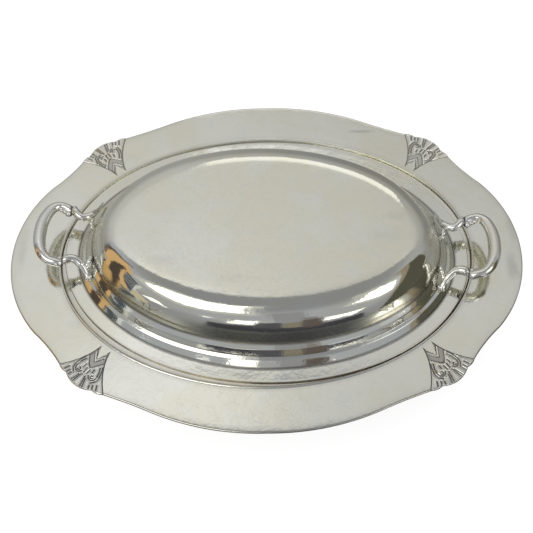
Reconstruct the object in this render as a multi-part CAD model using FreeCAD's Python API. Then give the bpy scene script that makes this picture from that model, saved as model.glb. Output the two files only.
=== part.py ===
import FreeCAD
import Part
import math
import os

# Oval covered dish: a lobed rim round a deep oval well, with struck corner
# mounts, and a domed oval cover that sits loose in a seat in the rim and is
# lifted by two cast scroll handles. Millimetres, +Z up, origin on the table
# under the middle of the dish, long axis along X.

# Seat for the cover, an oval step pressed into the rim: its long sides bow out
# past the round of its ends
seat_length = 273.2
seat_width = 188.8
seat_bow = 22.4
seat_depth = 1.6
seat_band = 14.5

# Rim outside the seat, and the well inside it
rim_end_band = 33.4
rim_side_band = 29.6
rim_height = 42.0
sheet_wall = 1.4
well_slope_run = 10.0
well_bottom_round = 15.5

# Cover
seat_clearance = 2.6
rest_clearance = 0.2
cover_turn_degrees = -2.4
flange_band = 8.9
ring_height = 5.2
ring_riser_run = 1.5
ring_bevel = 2.6
ring_band = 7.3
step_height = 5.3
step_riser_run = 1.2
shoulder_rise = 2.7
shoulder_band = 2.9
dome_height = 23.3
dome_round = 22.2

# Flats that stand for each round of the pressed sheet
bend_flats = 5

# Corner mounts: the tip stands off the side of the seat, and the mount has its
# own axis, width and reach
mount_wall = 0.6
mount_width = 35.2
mount_reach = 30.2
mount_setback = 3.6
mount_axis_degrees = 53.7
mount_tip_width = 7.6

# Scroll handles: height over the cover's flange, insets from the cover's end and
# half spans from the long axis
handle_height = 16.0
handle_overhang = 14.2
knuckle_inset = 4.7
knuckle_half_span = 18.9
loop_half_span = 21.2
waist_inset = 10.5
waist_half_span = 15.8
foot_inset = 16.5
foot_half_span = 18.5
foot_drop = 2.5
heel_half_span = 22.8
heel_drop = 6.0
tip_half_span = 26.5
bead_half_span = 12.8
rod_thickness = 6.6
knuckle_thickness = 5.7
knuckle_length = 2.0
neck_thickness = 4.0
foot_thickness = 4.4
heel_thickness = 3.6
tip_thickness = 2.6
bead_thickness = 3.6

# Overrun of cutting prisms past the faces that they trim
overrun = 5.0

# Outline of the rim in one quarter, as shares of half the length and half the
# width: each row is one arc with its start, a point on it and its end.
end_lobe_shares = ((1.000, 0.000), (0.966, 0.245), (0.871, 0.452))
end_sweep_shares = ((0.871, 0.452), (0.818, 0.526))
side_sweep_shares = ((0.506, 0.836), (0.412, 0.890))
side_lobe_shares = ((0.412, 0.890), (0.212, 0.975), (0.000, 1.000))

# Place of a corner mount's tip along the seat, as a share of half its length
mount_place_share = 0.7376

# Outer edge of a corner mount, as shares of half its width across and of its
# reach along, from one corner to the middle of its lobe
mount_corner_share = (1.00, 0.84)
mount_shoulder_share = (0.86, 0.881)
mount_notch_share = (0.60, 0.89)
mount_lobe_share = (0.00, 1.00)
mount_side_share = (0.46, 0.36)
mount_notch_depth_share = 0.29

# Loop of a scroll handle, from its middle towards the knuckle: share of the way
# out from knuckle to overhang, share of the loop's half span, share of thickness
loop_shares = (
    (1.00, 0.00, 1.00),
    (0.94, 0.42, 1.02),
    (0.74, 0.80, 1.00),
    (0.42, 1.00, 0.94),
)

# Height of a rod's section as a share of its width, and height of a foot's
# middle over its seat as a share of its thickness
rod_flatness_share = 0.9
foot_seat_share = 0.33

# Flat sides of a rod
rod_sides = 12

half_rim_length = seat_length / 2 + rim_end_band
half_rim_width = seat_width / 2 + rim_side_band
blank_band = max(rim_end_band, rim_side_band, mount_setback + mount_reach) + overrun
ledge_height = rim_height - seat_depth
cover_length = seat_length - 2 * seat_clearance
cover_width = seat_width - 2 * seat_clearance
flange_height = ledge_height + rest_clearance + sheet_wall
step_inset = flange_band + ring_band
tread_inset = step_inset - (ring_band - ring_riser_run - ring_bevel) / 2
crease_inset = step_inset + step_riser_run + shoulder_band
shoulder_inset = crease_inset - shoulder_band / 2
upward = FreeCAD.Vector(0, 0, 1)
origin = FreeCAD.Vector(0, 0, 0)


def unit(from_point, to_point):
    run = to_point[0] - from_point[0]
    rise = to_point[1] - from_point[1]
    size = math.hypot(run, rise)
    return run / size, rise / size


def toward(point, target, reach):
    run, rise = unit(point, target)
    return point[0] + reach * run, point[1] + reach * rise


def bend(start, corner, end):
    """Points of a round that leaves one leg at its start and meets the other at its end."""
    points = []
    for step in range(bend_flats + 1):
        angle = math.radians(90) * step / bend_flats
        early = math.sin(angle)
        late = 1 - math.cos(angle)
        points.append(tuple(start[axis] + (corner[axis] - start[axis]) * early
                            + (end[axis] - corner[axis]) * late for axis in (0, 1)))
    return points


def offset_profile(profile, wall):
    """Points of the sheet's other face, one wall to the right of the walk."""
    moved = []
    for index, point in enumerate(profile):
        ahead = unit(*profile[index:index + 2]) if index < len(profile) - 1 else None
        behind = unit(*profile[index - 1:index + 1]) if index > 0 else ahead
        ahead = ahead or behind
        spread = 1 + behind[0] * ahead[0] + behind[1] * ahead[1]
        moved.append((point[0] + wall * (behind[1] + ahead[1]) / spread,
                      point[1] - wall * (behind[0] + ahead[0]) / spread))
    return moved


def oval_arcs(length, width):
    """The four arcs of an oval: centre, radius, start angle and sweep in degrees."""
    end_radius = width / 2 - seat_bow
    end_centre = length / 2 - end_radius
    side_centre = (end_centre ** 2 - seat_bow ** 2) / (2 * seat_bow)
    side_radius = width / 2 + side_centre
    joint = math.degrees(math.atan2(side_centre, end_centre))
    return (
        (FreeCAD.Vector(end_centre, 0, 0), end_radius, -joint, 2 * joint),
        (FreeCAD.Vector(0, -side_centre, 0), side_radius, joint, 180 - 2 * joint),
        (FreeCAD.Vector(-end_centre, 0, 0), end_radius, 180 - joint, 2 * joint),
        (FreeCAD.Vector(0, side_centre, 0), side_radius, 180 + joint, 180 - 2 * joint),
    )


def oval_sheet(arcs, profile, wall):
    """Sheet pressed to a profile that runs round an oval, closed by a flat floor."""
    other_face = offset_profile(profile, wall)
    sectors = []
    floor_edges = []
    for centre, radius, start, sweep in arcs:
        outline = profile + other_face[::-1] + profile[:1]
        section = Part.makePolygon([FreeCAD.Vector(radius - inset, 0, height)
                                    for inset, height in outline])
        sector = Part.Face(section).revolve(origin, upward, sweep)
        sector.rotate(origin, upward, start)
        sector.translate(centre)
        sectors.append(sector)
        floor_centre = centre + upward * other_face[-1][1]
        floor_edges.append(Part.makeCircle(radius - profile[-1][0], floor_centre, upward,
                                           start, start + sweep))
    floor_face = Part.Face(Part.Wire(Part.__sortEdges__(floor_edges)))
    sectors.append(floor_face.extrude(upward * (profile[-1][1] - other_face[-1][1])))
    return sectors[0].multiFuse(sectors[1:]).removeSplitter().Solids[0]


seat_arcs = oval_arcs(seat_length, seat_width)
cover_arcs = oval_arcs(cover_length, cover_width)


def mount_point(across, along):
    """Point in plan from a mount's own axes, in shares of its half width and reach."""
    side_centre, side_radius = seat_arcs[1][:2]
    tip_x = mount_place_share * seat_length / 2
    tip_y = side_centre.y + math.sqrt((side_radius + mount_setback) ** 2 - tip_x ** 2)
    axis = math.radians(mount_axis_degrees)
    side = across * mount_width / 2
    out = along * mount_reach
    return (tip_x + out * math.cos(axis) + side * math.sin(axis),
            tip_y + out * math.sin(axis) - side * math.cos(axis))


def rim_point(share):
    return share[0] * half_rim_length, share[1] * half_rim_width


def mount_edge_arcs():
    """Outer edge of a mount, from its corner by the end to the other by the side."""
    half = [mount_corner_share, mount_shoulder_share, mount_notch_share]
    mirrored = [(-across, along) for across, along in reversed(half)]
    rows = (half, (mount_notch_share, mount_lobe_share, mirrored[0]), mirrored)
    return [[mount_point(*share) for share in row] for row in rows]


def quarter_arcs():
    """Arcs of the rim's outline in the quarter where X and Y are positive."""
    arcs = [[rim_point(share) for share in end_lobe_shares]]
    end_corner = mount_point(*mount_corner_share)
    side_corner = mount_point(-mount_corner_share[0], mount_corner_share[1])
    arcs.append([rim_point(share) for share in end_sweep_shares] + [end_corner])
    arcs.extend(mount_edge_arcs())
    arcs.append([side_corner] + [rim_point(share) for share in side_sweep_shares])
    arcs.append([rim_point(share) for share in side_lobe_shares])
    return arcs


def plan_arc(points, mirror_x, mirror_y, height):
    corners = [FreeCAD.Vector(x * mirror_x, y * mirror_y, height) for x, y in points]
    return Part.Arc(*corners).toShape()


def prism(edges, height):
    outline = Part.Wire(Part.__sortEdges__(edges))
    return Part.Face(outline).extrude(FreeCAD.Vector(0, 0, height))


def rim_prism():
    edges = []
    for mirror_x in (1, -1):
        for mirror_y in (1, -1):
            for points in quarter_arcs():
                edges.append(plan_arc(points, mirror_x, mirror_y, -overrun))
    return prism(edges, rim_height + 2 * overrun)


def base_dish():
    """Rim, seat and well pressed from one sheet, trimmed to the lobed outline."""
    mouth = (seat_band, ledge_height)
    floor_corner = (seat_band + well_slope_run, sheet_wall)
    floor_start = (floor_corner[0] + well_bottom_round, sheet_wall)
    wall_end = toward(floor_corner, mouth, well_bottom_round)
    profile = [(-blank_band, rim_height), (0, rim_height), (0, ledge_height), mouth]
    profile += bend(wall_end, floor_corner, floor_start)
    profile.append((floor_start[0] + sheet_wall, sheet_wall))
    blank = oval_sheet(seat_arcs, profile, sheet_wall)
    return blank.common(rim_prism()).Solids[0]


def corner_mount(mirror_x, mirror_y):
    """Struck mount that lies on the rim, with horned sides and a notched foot."""
    edges = []
    for points in mount_edge_arcs():
        edges.append(plan_arc(points, mirror_x, mirror_y, rim_height))
    tip_share = mount_tip_width / mount_width
    notch = mount_point(0, mount_notch_depth_share)
    for side in (1, -1):
        corner = mount_point(side * mount_corner_share[0], mount_corner_share[1])
        waist = mount_point(side * mount_side_share[0], mount_side_share[1])
        tip = mount_point(side * tip_share, 0)
        edges.append(plan_arc([corner, waist, tip], mirror_x, mirror_y, rim_height))
        ends = [FreeCAD.Vector(x * mirror_x, y * mirror_y, rim_height) for x, y in (tip, notch)]
        edges.append(Part.makeLine(*ends))
    return prism(edges, mount_wall)


def cover():
    """Domed cover: flange, ring moulding, stepped shoulder and dome."""
    dome_foot = (crease_inset, flange_height + ring_height + step_height + shoulder_rise)
    dome_corner = (crease_inset, dome_foot[1] + dome_height)
    dome_rim = (crease_inset + dome_round, dome_corner[1])
    ring_top = flange_height + ring_height
    ring_edge = flange_band + ring_riser_run
    profile = [
        (0, flange_height),
        (flange_band, flange_height),
        (ring_edge, ring_top - ring_bevel),
        (ring_edge + ring_bevel, ring_top),
        (step_inset, ring_top),
        (step_inset + step_riser_run, ring_top + step_height),
    ]
    profile += bend(dome_foot, dome_corner, dome_rim)
    profile.append((dome_rim[0] + sheet_wall, dome_corner[1]))
    return oval_sheet(cover_arcs, profile, sheet_wall)


def seat_point(inset, across, height):
    """Point over the end of the cover, at an inset from its edge and a height."""
    end_centre, end_radius = cover_arcs[0][:2]
    along = math.sqrt((end_radius - inset) ** 2 - across ** 2)
    return FreeCAD.Vector(end_centre.x + along, across, flange_height + height)


def handle_point(inset, across, drop):
    """Point of a handle, at an inset from the cover's end, a span and a drop."""
    return FreeCAD.Vector(cover_length / 2 - inset, across, flange_height + handle_height - drop)


def rod_section(place, thickness, opening):
    """Corners of an oval section that stands square to the opening direction."""
    across = opening.cross(upward).normalize()
    upright = across.cross(opening).normalize()
    half_width = thickness / 2
    half_height = half_width * rod_flatness_share
    corners = []
    for side in range(rod_sides):
        angle = 2 * math.pi * side / rod_sides
        offset = across * (half_width * math.cos(angle)) + upright * (half_height * math.sin(angle))
        corners.append(place + offset)
    return corners


def carried_section(section, start, end, growth, mitre):
    """The section carried along a straight tapered run to the mitre at its end."""
    axis = (end - start).normalize()
    length = start.distanceToPoint(end)
    taper = (growth - 1) / length
    corners = []
    for corner in section:
        along = (corner - start).dot(axis)
        radial = (corner - start - axis * along) / (1 + taper * along)
        reach = (length * mitre.dot(axis) - mitre.dot(radial)) / (mitre.dot(axis) + taper * mitre.dot(radial))
        corners.append(start + axis * reach + radial * (1 + taper * reach))
    return corners


def flat_face(corners):
    return Part.Face(Part.makePolygon(corners + corners[:1]))


def rod(stations, opening):
    """Tapered rod through stations of place and thickness, with mitred flat sides."""
    section = rod_section(*stations[0], opening)
    faces = [flat_face(section)]
    for index in range(1, len(stations)):
        start, start_thickness = stations[index - 1]
        end, end_thickness = stations[index]
        mitre = (end - start).normalize()
        if index + 1 < len(stations):
            mitre = mitre + (stations[index + 1][0] - end).normalize()
        carried = carried_section(section, start, end, end_thickness / start_thickness, mitre)
        for side in range(rod_sides):
            faces.append(flat_face([section[side - 1], section[side], carried[side], carried[side - 1]]))
        section = carried
    faces.append(flat_face(section))
    solid = Part.Solid(Part.Shell(faces))
    if solid.Volume < 0:
        solid.reverse()
    return solid


def bar_stations():
    """Stations of half the bar: loop, knuckle with its groove, waist, foot and tip."""
    stations = []
    for out_share, span_share, thickness_share in loop_shares:
        inset = knuckle_inset - out_share * (handle_overhang + knuckle_inset)
        place = handle_point(inset, span_share * loop_half_span, 0)
        stations.append((place, thickness_share * rod_thickness))
    neck = handle_point(knuckle_inset, knuckle_half_span, 0)
    waist = handle_point(waist_inset, waist_half_span, foot_drop / 2)
    lead = (waist - neck).normalize() * knuckle_length
    stations.append((neck - lead, knuckle_thickness))
    stations.append((neck, neck_thickness))
    stations.append((neck + lead, knuckle_thickness))
    stations.append((waist, foot_thickness))
    stations.append((handle_point(foot_inset, foot_half_span, foot_drop), foot_thickness))
    tip = seat_point(tread_inset, tip_half_span, ring_height + foot_seat_share * tip_thickness)
    heel_inset = (foot_inset + cover_length / 2 - tip.x) / 2
    stations.append((handle_point(heel_inset, heel_half_span, heel_drop), heel_thickness))
    stations.append((tip, tip_thickness))
    return stations


def branch_stations():
    """Stations of the short branch that curls from the foot onto the cover's shoulder."""
    shoulder_height = ring_height + step_height + shoulder_rise / 2
    bead = seat_point(shoulder_inset, bead_half_span, shoulder_height + foot_seat_share * bead_thickness)
    foot = handle_point(foot_inset, foot_half_span, foot_drop)
    lead = (bead - foot).normalize() * bead_thickness / 2
    return [
        (foot, heel_thickness),
        (bead - lead, tip_thickness),
        (bead, bead_thickness),
        (bead + lead, tip_thickness),
    ]


def handle(seat):
    """Cast handle on two forked feet, fitted to the cover that it is soldered to."""
    branch = branch_stations()
    half_bar = rod(bar_stations(), FreeCAD.Vector(0, 1, 0))
    half = half_bar.fuse(rod(branch, branch[1][0] - branch[0][0]))
    casting = half.fuse(half.mirror(origin, FreeCAD.Vector(0, 1, 0))).removeSplitter()
    return casting.cut(seat).Solids[0]


def turned(shape):
    """A piece of the cover, turned in the seat as the cover lies."""
    return shape.rotated(origin, upward, cover_turn_degrees)


def build():
    """All pieces by node name."""
    straight_cover = cover()
    right_handle = handle(straight_cover)
    left_handle = right_handle.mirror(origin, FreeCAD.Vector(1, 0, 0))
    pieces = {"base_dish": base_dish()}
    sides = {"front_left": (-1, -1), "front_right": (1, -1), "back_left": (-1, 1), "back_right": (1, 1)}
    for side, mirrors in sides.items():
        pieces["corner_mount_" + side] = corner_mount(*mirrors)
    pieces["cover"] = turned(straight_cover)
    pieces["handle_left"] = turned(left_handle)
    pieces["handle_right"] = turned(right_handle)
    return pieces


os.makedirs("parts", exist_ok=True)
for name, piece in build().items():
    print(name, "valid", piece.isValid(), "solids", len(piece.Solids), "volume", round(piece.Volume))
    piece.exportStep("parts/" + name + ".step")
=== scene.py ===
import math

import bmesh
import bpy
from bpy.props import FloatProperty, FloatVectorProperty, PointerProperty
from mathutils import Matrix, Vector


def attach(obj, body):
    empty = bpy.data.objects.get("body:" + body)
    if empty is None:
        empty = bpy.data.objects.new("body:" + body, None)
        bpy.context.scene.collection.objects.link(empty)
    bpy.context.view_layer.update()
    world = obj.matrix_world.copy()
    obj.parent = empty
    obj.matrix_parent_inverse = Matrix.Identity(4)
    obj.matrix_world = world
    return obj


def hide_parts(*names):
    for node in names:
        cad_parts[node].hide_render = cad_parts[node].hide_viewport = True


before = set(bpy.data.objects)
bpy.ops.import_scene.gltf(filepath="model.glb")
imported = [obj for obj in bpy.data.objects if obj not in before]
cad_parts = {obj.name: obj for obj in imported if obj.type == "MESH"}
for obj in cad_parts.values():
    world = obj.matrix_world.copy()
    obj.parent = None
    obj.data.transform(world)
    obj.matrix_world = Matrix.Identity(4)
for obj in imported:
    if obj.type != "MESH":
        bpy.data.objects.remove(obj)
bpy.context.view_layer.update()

# Looks of the covered vegetable dish, built round the imported frame. Tables of
# shape are in millimetres and MM brings them to metres. Every vertex carries its
# marks: polish (0 satin, 1 polished), a brown film that is partly painted shade, and
# black in hollows that is partly painted shade.

bl_info = {
    "name": "Covered Vegetable Dish",
    "version": (1, 0, 0),
    "blender": (4, 5, 0),
    "location": "3D View > Sidebar > Dish",
    "description": "Builds a silver plated covered dish with lobed rim, struck corners and handles",
    "category": "Object",
}

MM = 0.001
SIDES = {"front_left": (-1, -1), "front_right": (1, -1), "back_left": (-1, 1), "back_right": (1, 1)}
MARKS = ("polish", "tarnish_and_shade", "patina_and_shade")


# Settings that a user would change

def size_setting(name, description, millimetres):
    return FloatProperty(name=name, description=description, default=millimetres * MM,
                         unit="LENGTH", precision=4)


def colour_setting(name, description, colour):
    return FloatVectorProperty(name=name, description=description, default=colour,
                               subtype="COLOR", size=3, min=0, max=1)


class DishSizes(bpy.types.PropertyGroup):
    """Sizes of the dish."""
    seat_length: size_setting("Seat Length", "Length of the oval seat for the cover", 273.2)
    seat_width: size_setting("Seat Width", "Width of the oval seat for the cover", 188.8)
    rim_length: size_setting("Rim Length", "Length of the lobed rim", 340.0)
    rim_width: size_setting("Rim Width", "Width of the lobed rim", 248.0)
    rim_height: size_setting("Rim Height", "Height of the flat rim over the table", 42.0)
    seat_depth: size_setting("Seat Depth", "Depth of the seat under the rim", 1.6)
    sheet_wall: size_setting("Sheet Wall", "Thickness of the pressed sheet", 1.4)
    edge_roll: size_setting("Edge Roll", "Drop of the rim at its outer edge", 0.8)
    edge_inset: size_setting("Edge Inset", "Room left inside the rim's full outline", 0.05)
    cover_length: size_setting("Cover Length", "Length of the cover's edge", 268.0)
    cover_width: size_setting("Cover Width", "Width of the cover's edge", 183.6)
    dome_height: size_setting("Dome Height", "Rise of the cover's rounded side", 23.0)
    dome_round: size_setting("Dome Round", "Run of the cover's rounded side", 22.2)
    crown: size_setting("Crown", "Rise of the cover's top over its edge", 0.3)
    cover_turn: FloatProperty(name="Cover Turn", description="Turn of the loose cover in its seat",
                              default=math.radians(-2.4), subtype="ANGLE")


class SilverColours(bpy.types.PropertyGroup):
    """Colours of the silver, of its brown film and of the black in its hollows; film and black also paint
    shade.
    """
    plate: colour_setting("Plate", "Worn silver plate of the sheet", (0.86, 0.86, 0.785))
    cast: colour_setting("Cast", "Bright silver of handles and struck corners", (0.90, 0.90, 0.84))
    # Tarnish and black also colour painted shade: a gap shadow at the seat's front, the cover's creases
    # and dome foot, and the handles' undersides.
    tarnish_and_shade: colour_setting("Tarnish", "Brown film along seams and steps", (0.26, 0.20, 0.12))
    black: colour_setting("Black", "Dark sulphide in the hollows", (0.044, 0.047, 0.060))


# Shader nodes written as expressions

class Socket:
    """A shader socket that takes part in sums and products of values."""

    def __init__(self, tree, link):
        self.tree = tree
        self.link = link

    def math(self, operation, *others, clamp=False):
        settings = {"operation": operation, "use_clamp": clamp}
        return self.tree.add("ShaderNodeMath", dict(enumerate([self, *others])), settings)

    def __add__(self, other):
        return self.math("ADD", other)

    def __sub__(self, other):
        return self.math("SUBTRACT", other)

    def __mul__(self, other):
        return self.math("MULTIPLY", other)

    def __truediv__(self, other):
        return self.math("DIVIDE", other)

    def __rsub__(self, other):
        return self.tree.add("ShaderNodeMath", {0: other, 1: self}, {"operation": "SUBTRACT"})

    __radd__ = __add__
    __rmul__ = __mul__

    def clamped(self):
        return self.math("ADD", 0.0, clamp=True)

    def between(self, low, high):
        """Zero at low and one at high, smooth between them."""
        return self.tree.add("ShaderNodeMapRange", {0: self, 1: low, 2: high},
                             {"interpolation_type": "SMOOTHSTEP"})


class ShaderTree:
    """Node tree of one material or world, filled by one method."""

    def __init__(self, owner):
        owner.use_nodes = True
        self.nodes = owner.node_tree.nodes
        self.links = owner.node_tree.links
        self.nodes.clear()

    def add(self, kind, inputs=None, settings=None, output=0):
        node = self.nodes.new(kind)
        for name, value in (settings or {}).items():
            setattr(node, name, value)
        for key, value in (inputs or {}).items():
            if isinstance(value, Socket):
                self.links.new(value.link, node.inputs[key])
            else:
                node.inputs[key].default_value = value
        return Socket(self, node.outputs[output]) if len(node.outputs) else None

    def mix(self, factor, first, second):
        """Mix of two colours by a factor."""
        first, second = [value if isinstance(value, Socket) else (*value, 1.0)
                         for value in (first, second)]
        inputs = {0: factor, 6: first, 7: second}
        return self.add("ShaderNodeMix", inputs, {"data_type": "RGBA"}, output=2)

    def attribute(self, name):
        return self.add("ShaderNodeAttribute", settings={"attribute_name": name}, output=2)

    def place(self, stretch=(1.0, 1.0, 1.0), turn=0.0):
        """Object coordinates in millimetres, turned about the upright and stretched."""
        start = self.add("ShaderNodeTexCoord", output=3)
        scale = tuple(value / MM for value in stretch)
        turned = self.add("ShaderNodeMapping", {0: start, 2: (0.0, 0.0, turn)})
        return self.add("ShaderNodeMapping", {0: turned, 3: scale})

    def noise(self, place, size, detail=3.0, roughness=0.55, distortion=0.0):
        """Noise whose patches are about size millimetres across."""
        inputs = {"Vector": place, "Scale": 1.0 / size, "Detail": detail, "Roughness": roughness,
                  "Distortion": distortion}
        return self.add("ShaderNodeTexNoise", inputs)

    def emission(self, colour, strength):
        """Light of one colour, or of the colour in a socket."""
        colour = colour if isinstance(colour, Socket) else (*colour, 1.0)
        return self.add("ShaderNodeEmission", {0: colour, 1: strength})

    def seen_directly(self):
        """One for rays from the camera and rays through or off the metal, else zero."""
        rays = [self.add("ShaderNodeLightPath", output=name)
                for name in ("Is Camera Ray", "Is Glossy Ray", "Is Transmission Ray")]
        return (rays[0] + rays[1] + rays[2]).clamped()


def scratches(tree, turns, spacing, stretch):
    """Fine straight scratches in a few directions, as one value."""
    total = 0.0
    for turn in turns:
        place = tree.place((1.0 / stretch, 1.0, 1.0), turn)
        total = tree.noise(place, spacing, 2.0, 0.6, 0.15).between(0.60, 0.74) + total
    return total


def smudge(tree, along, across, reach_along, reach_across, cloud):
    """A soft stain round a place in millimetres, with a ragged edge, as one value."""
    middle = (along, across, 0.0)
    shares = (1.0 / reach_along, 1.0 / reach_across, 0.0)
    place = tree.place()
    moved = tree.add("ShaderNodeVectorMath", {0: place, 1: middle}, {"operation": "SUBTRACT"})
    scaled = tree.add("ShaderNodeVectorMath", {0: moved, 1: shares}, {"operation": "MULTIPLY"})
    away = tree.add("ShaderNodeVectorMath", {0: scaled}, {"operation": "LENGTH"}, output=1)
    return (away + (cloud - 0.5) * 1.6).between(1.1, 0.1)


WARM_TINT = (0.975, 0.955, 0.885)
COOL_TINT = (0.955, 0.965, 0.985)
WORN_TINT = (0.62, 0.62, 0.62)


def silver(name, colour, colours, gloss, satin, scratch_depth, wave_depth, smudges=()):
    """Scratched silver plate that shows its marks. Gloss and satin are the roughness
    of its polished and of its dull places."""
    material = bpy.data.materials.new(name)
    tree = ShaderTree(material)
    place = tree.place()
    broad = tree.noise(place, 55.0, 3.0, 0.6)
    cloud = tree.noise(place, 13.0, 4.0, 0.6)
    grain = tree.noise(place, 1.1, 4.0, 0.7)
    speckle = tree.noise(place, 3.2, 5.0, 0.65, 0.6)
    marks = scratches(tree, (0.35, 1.25, 2.3), 0.55, 26.0)
    swirls = scratches(tree, (0.05, 2.75), 0.9, 40.0)
    polish = tree.attribute("polish")
    film = tree.attribute("tarnish_and_shade")
    patina_and_shade = tree.attribute("patina_and_shade")
    warm, cool, worn_colour = [tuple(share * value for share, value in zip(tint, colour))
                               for tint in (WARM_TINT, COOL_TINT, WORN_TINT)]
    skin = tree.mix(broad.between(0.38, 0.62), warm, colour)
    skin = tree.mix(cloud.between(0.48, 0.72) * 0.55, skin, cool)
    dull = (1.0 - polish).clamped()
    spots = speckle.between(0.52, 0.80) * 0.22
    worn = dull * (grain.between(0.45, 0.75) * 0.26 + marks * 0.17 + spots)
    worn = worn + marks * 0.03 + grain.between(0.50, 0.78) * 0.03
    for *spot, depth in smudges:
        worn = worn + smudge(tree, *spot, cloud) * depth
    skin = tree.mix(worn.clamped(), skin, worn_colour)
    # The brown film and the black carry real tarnish and patina, and also painted shade.
    skin = tree.mix((film * (0.65 + 0.7 * cloud)).clamped(), skin, tuple(colours.tarnish_and_shade))
    skin = tree.mix((patina_and_shade * (0.88 + 0.2 * grain)).clamped(), skin, tuple(colours.black))
    rough = satin + polish * (gloss - satin) + (broad - 0.5) * 0.05
    rough = rough + dull * (cloud - 0.5) * 0.12 + marks * 0.03 + film * 0.18 + patina_and_shade * 0.25
    height = marks * -scratch_depth + swirls * (-0.6 * scratch_depth)
    height = height + (grain - 0.5) * (0.5 * scratch_depth)
    height = height * (0.25 + dull) + (cloud - 0.5) * wave_depth
    normal = tree.add("ShaderNodeBump", {"Strength": 1.0, "Distance": MM, "Height": height})
    shader = tree.add("ShaderNodeBsdfPrincipled", {
        "Base Color": skin, "Metallic": 1.0, "Roughness": rough.clamped(), "Normal": normal})
    tree.add("ShaderNodeOutputMaterial", {0: shader})
    return material


# Stains as place along and across the dish, reach along and across it, and depth

BASE_SMUDGES = (
    (162.0, -10.0, 6.0, 13.0, 0.55), (-163.0, 2.0, 5.0, 22.0, 0.35), (70.0, 101.0, 9.0, 2.0, 0.65),
    (166.0, 18.0, 4.0, 20.0, 0.30), (-120.0, -50.0, 8.0, 5.0, 0.15),
)
COVER_SMUDGES = (
    (74.0, -8.0, 15.0, 9.0, 0.14), (84.0, 6.0, 9.0, 5.0, 0.16),
    (-62.0, -24.0, 14.0, 5.0, 0.15), (-20.0, -38.0, 22.0, 4.0, 0.12),
)


def plate_silver(name, scene, smudges):
    return silver(name, tuple(scene.dish_colours.plate), scene.dish_colours,
                  gloss=0.06, satin=0.30, scratch_depth=0.012, wave_depth=0.12, smudges=smudges)


def cast_silver(name, scene):
    return silver(name, tuple(scene.dish_colours.cast), scene.dish_colours,
                  gloss=0.09, satin=0.34, scratch_depth=0.008, wave_depth=0.10)


# Curves in plan and in section. A rounded corner has a point every ROUND_STEP degrees.

ROUND_STEP = 9.0


def oval_point(angle, length, width):
    """Point of an oval and its outward normal."""
    place = Vector((length / 2 * math.cos(angle), width / 2 * math.sin(angle)))
    normal = Vector((math.cos(angle) / length, math.sin(angle) / width)).normalized()
    return place, normal


def oval_angle_near(target, length, width):
    """Angle of the oval's point whose normal runs through a target outside it."""
    angle = math.atan2(target.y * length, target.x * width)
    for _ in range(30):
        place, normal = oval_point(angle, length, width)
        along = Vector((-math.sin(angle) * length / 2, math.cos(angle) * width / 2))
        angle += 0.8 * (target - place).dot(along) / along.length_squared
    return angle


def arc_points(start, middle, end, spacing):
    """Points along the round through three points, without its end."""
    first = middle - start
    second = end - start
    cross = first.cross(second)
    across = Vector((second.y * first.length_squared - first.y * second.length_squared,
                     first.x * second.length_squared - second.x * first.length_squared))
    centre = start + across / (2 * cross)
    spoke = start - centre
    sweep = -spoke.angle_signed(end - centre)
    count = max(4, round(abs(sweep) * spoke.length / spacing))
    return [centre + Matrix.Rotation(sweep * part / count, 2) @ spoke for part in range(count)]


def rounded(corners):
    """Section line through corners of inset, height and radius, each corner rounded."""
    points = []
    for index, (inset, height, radius) in enumerate(corners):
        corner = Vector((inset, height))
        if radius == 0:
            points.append(corner)
            continue
        before = (Vector(corners[index - 1][:2]) - corner).normalized()
        after = (Vector(corners[index + 1][:2]) - corner).normalized()
        half = before.angle(after) / 2
        centre = corner + (before + after).normalized() * (radius / math.sin(half))
        spoke = corner + before * (radius / math.tan(half)) - centre
        sweep = -spoke.angle_signed(corner + after * (radius / math.tan(half)) - centre)
        count = max(2, math.ceil(math.degrees(abs(sweep)) / ROUND_STEP))
        for part in range(count + 1):
            points.append(centre + Matrix.Rotation(sweep * part / count, 2) @ spoke)
    return points


def offset_line(points, wall):
    """Section line of the sheet's other face, one wall to the right of the walk."""
    moved = []
    for index, point in enumerate(points):
        behind = (point - points[index - 1]).normalized() if index else None
        ahead = (points[index + 1] - point).normalized() if index < len(points) - 1 else behind
        behind = behind or ahead
        normal = Vector((behind.y, -behind.x)) + Vector((ahead.y, -ahead.x))
        moved.append(point + normal * (wall / (1 + behind.dot(ahead))))
    return moved


def divided(points, step):
    """The same section line with no run longer than a step."""
    line = points[:1]
    for start, end in zip(points, points[1:]):
        count = max(1, math.ceil((end - start).length / step))
        line += [start.lerp(end, part / count) for part in range(1, count + 1)]
    return line


def domed(foot, top, lean, top_lean, fullness, count):
    """Section line of a domed side from its leaning foot to its nearly flat top."""
    away = Vector((math.sin(lean), math.cos(lean)))
    into = Vector((math.cos(top_lean), math.sin(top_lean)))
    reach = (top - foot).cross(into) / away.cross(into)
    middle = foot + away * reach
    points = []
    for part in range(count + 1):
        share = part / count
        pulls = ((1 - share) ** 2, 2 * fullness * share * (1 - share), share ** 2)
        points.append((foot * pulls[0] + middle * pulls[1] + top * pulls[2]) / sum(pulls))
    return points


def ramp(value, low, high):
    """Zero at low and one at high, smooth between them."""
    share = min(max((value - low) / (high - low), 0.0), 1.0)
    return share * share * (3 - 2 * share)


def peak(value, centre, width):
    """One at the centre, falling off to both sides over a width."""
    return math.exp(-((value - centre) / width) ** 2)


def between_rows(rows, value):
    """Value read from rows of key and value, straight between them."""
    for (low, first), (high, second) in zip(rows, rows[1:]):
        if value <= high:
            break
    share = min(max((value - low) / (high - low), 0.0), 1.0)
    return first + share * (second - first)


# Meshes

def new_shape():
    """Empty mesh whose vertices can carry marks."""
    shape = bmesh.new()
    for name in MARKS:
        shape.verts.layers.float.new(name)
    return shape


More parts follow.
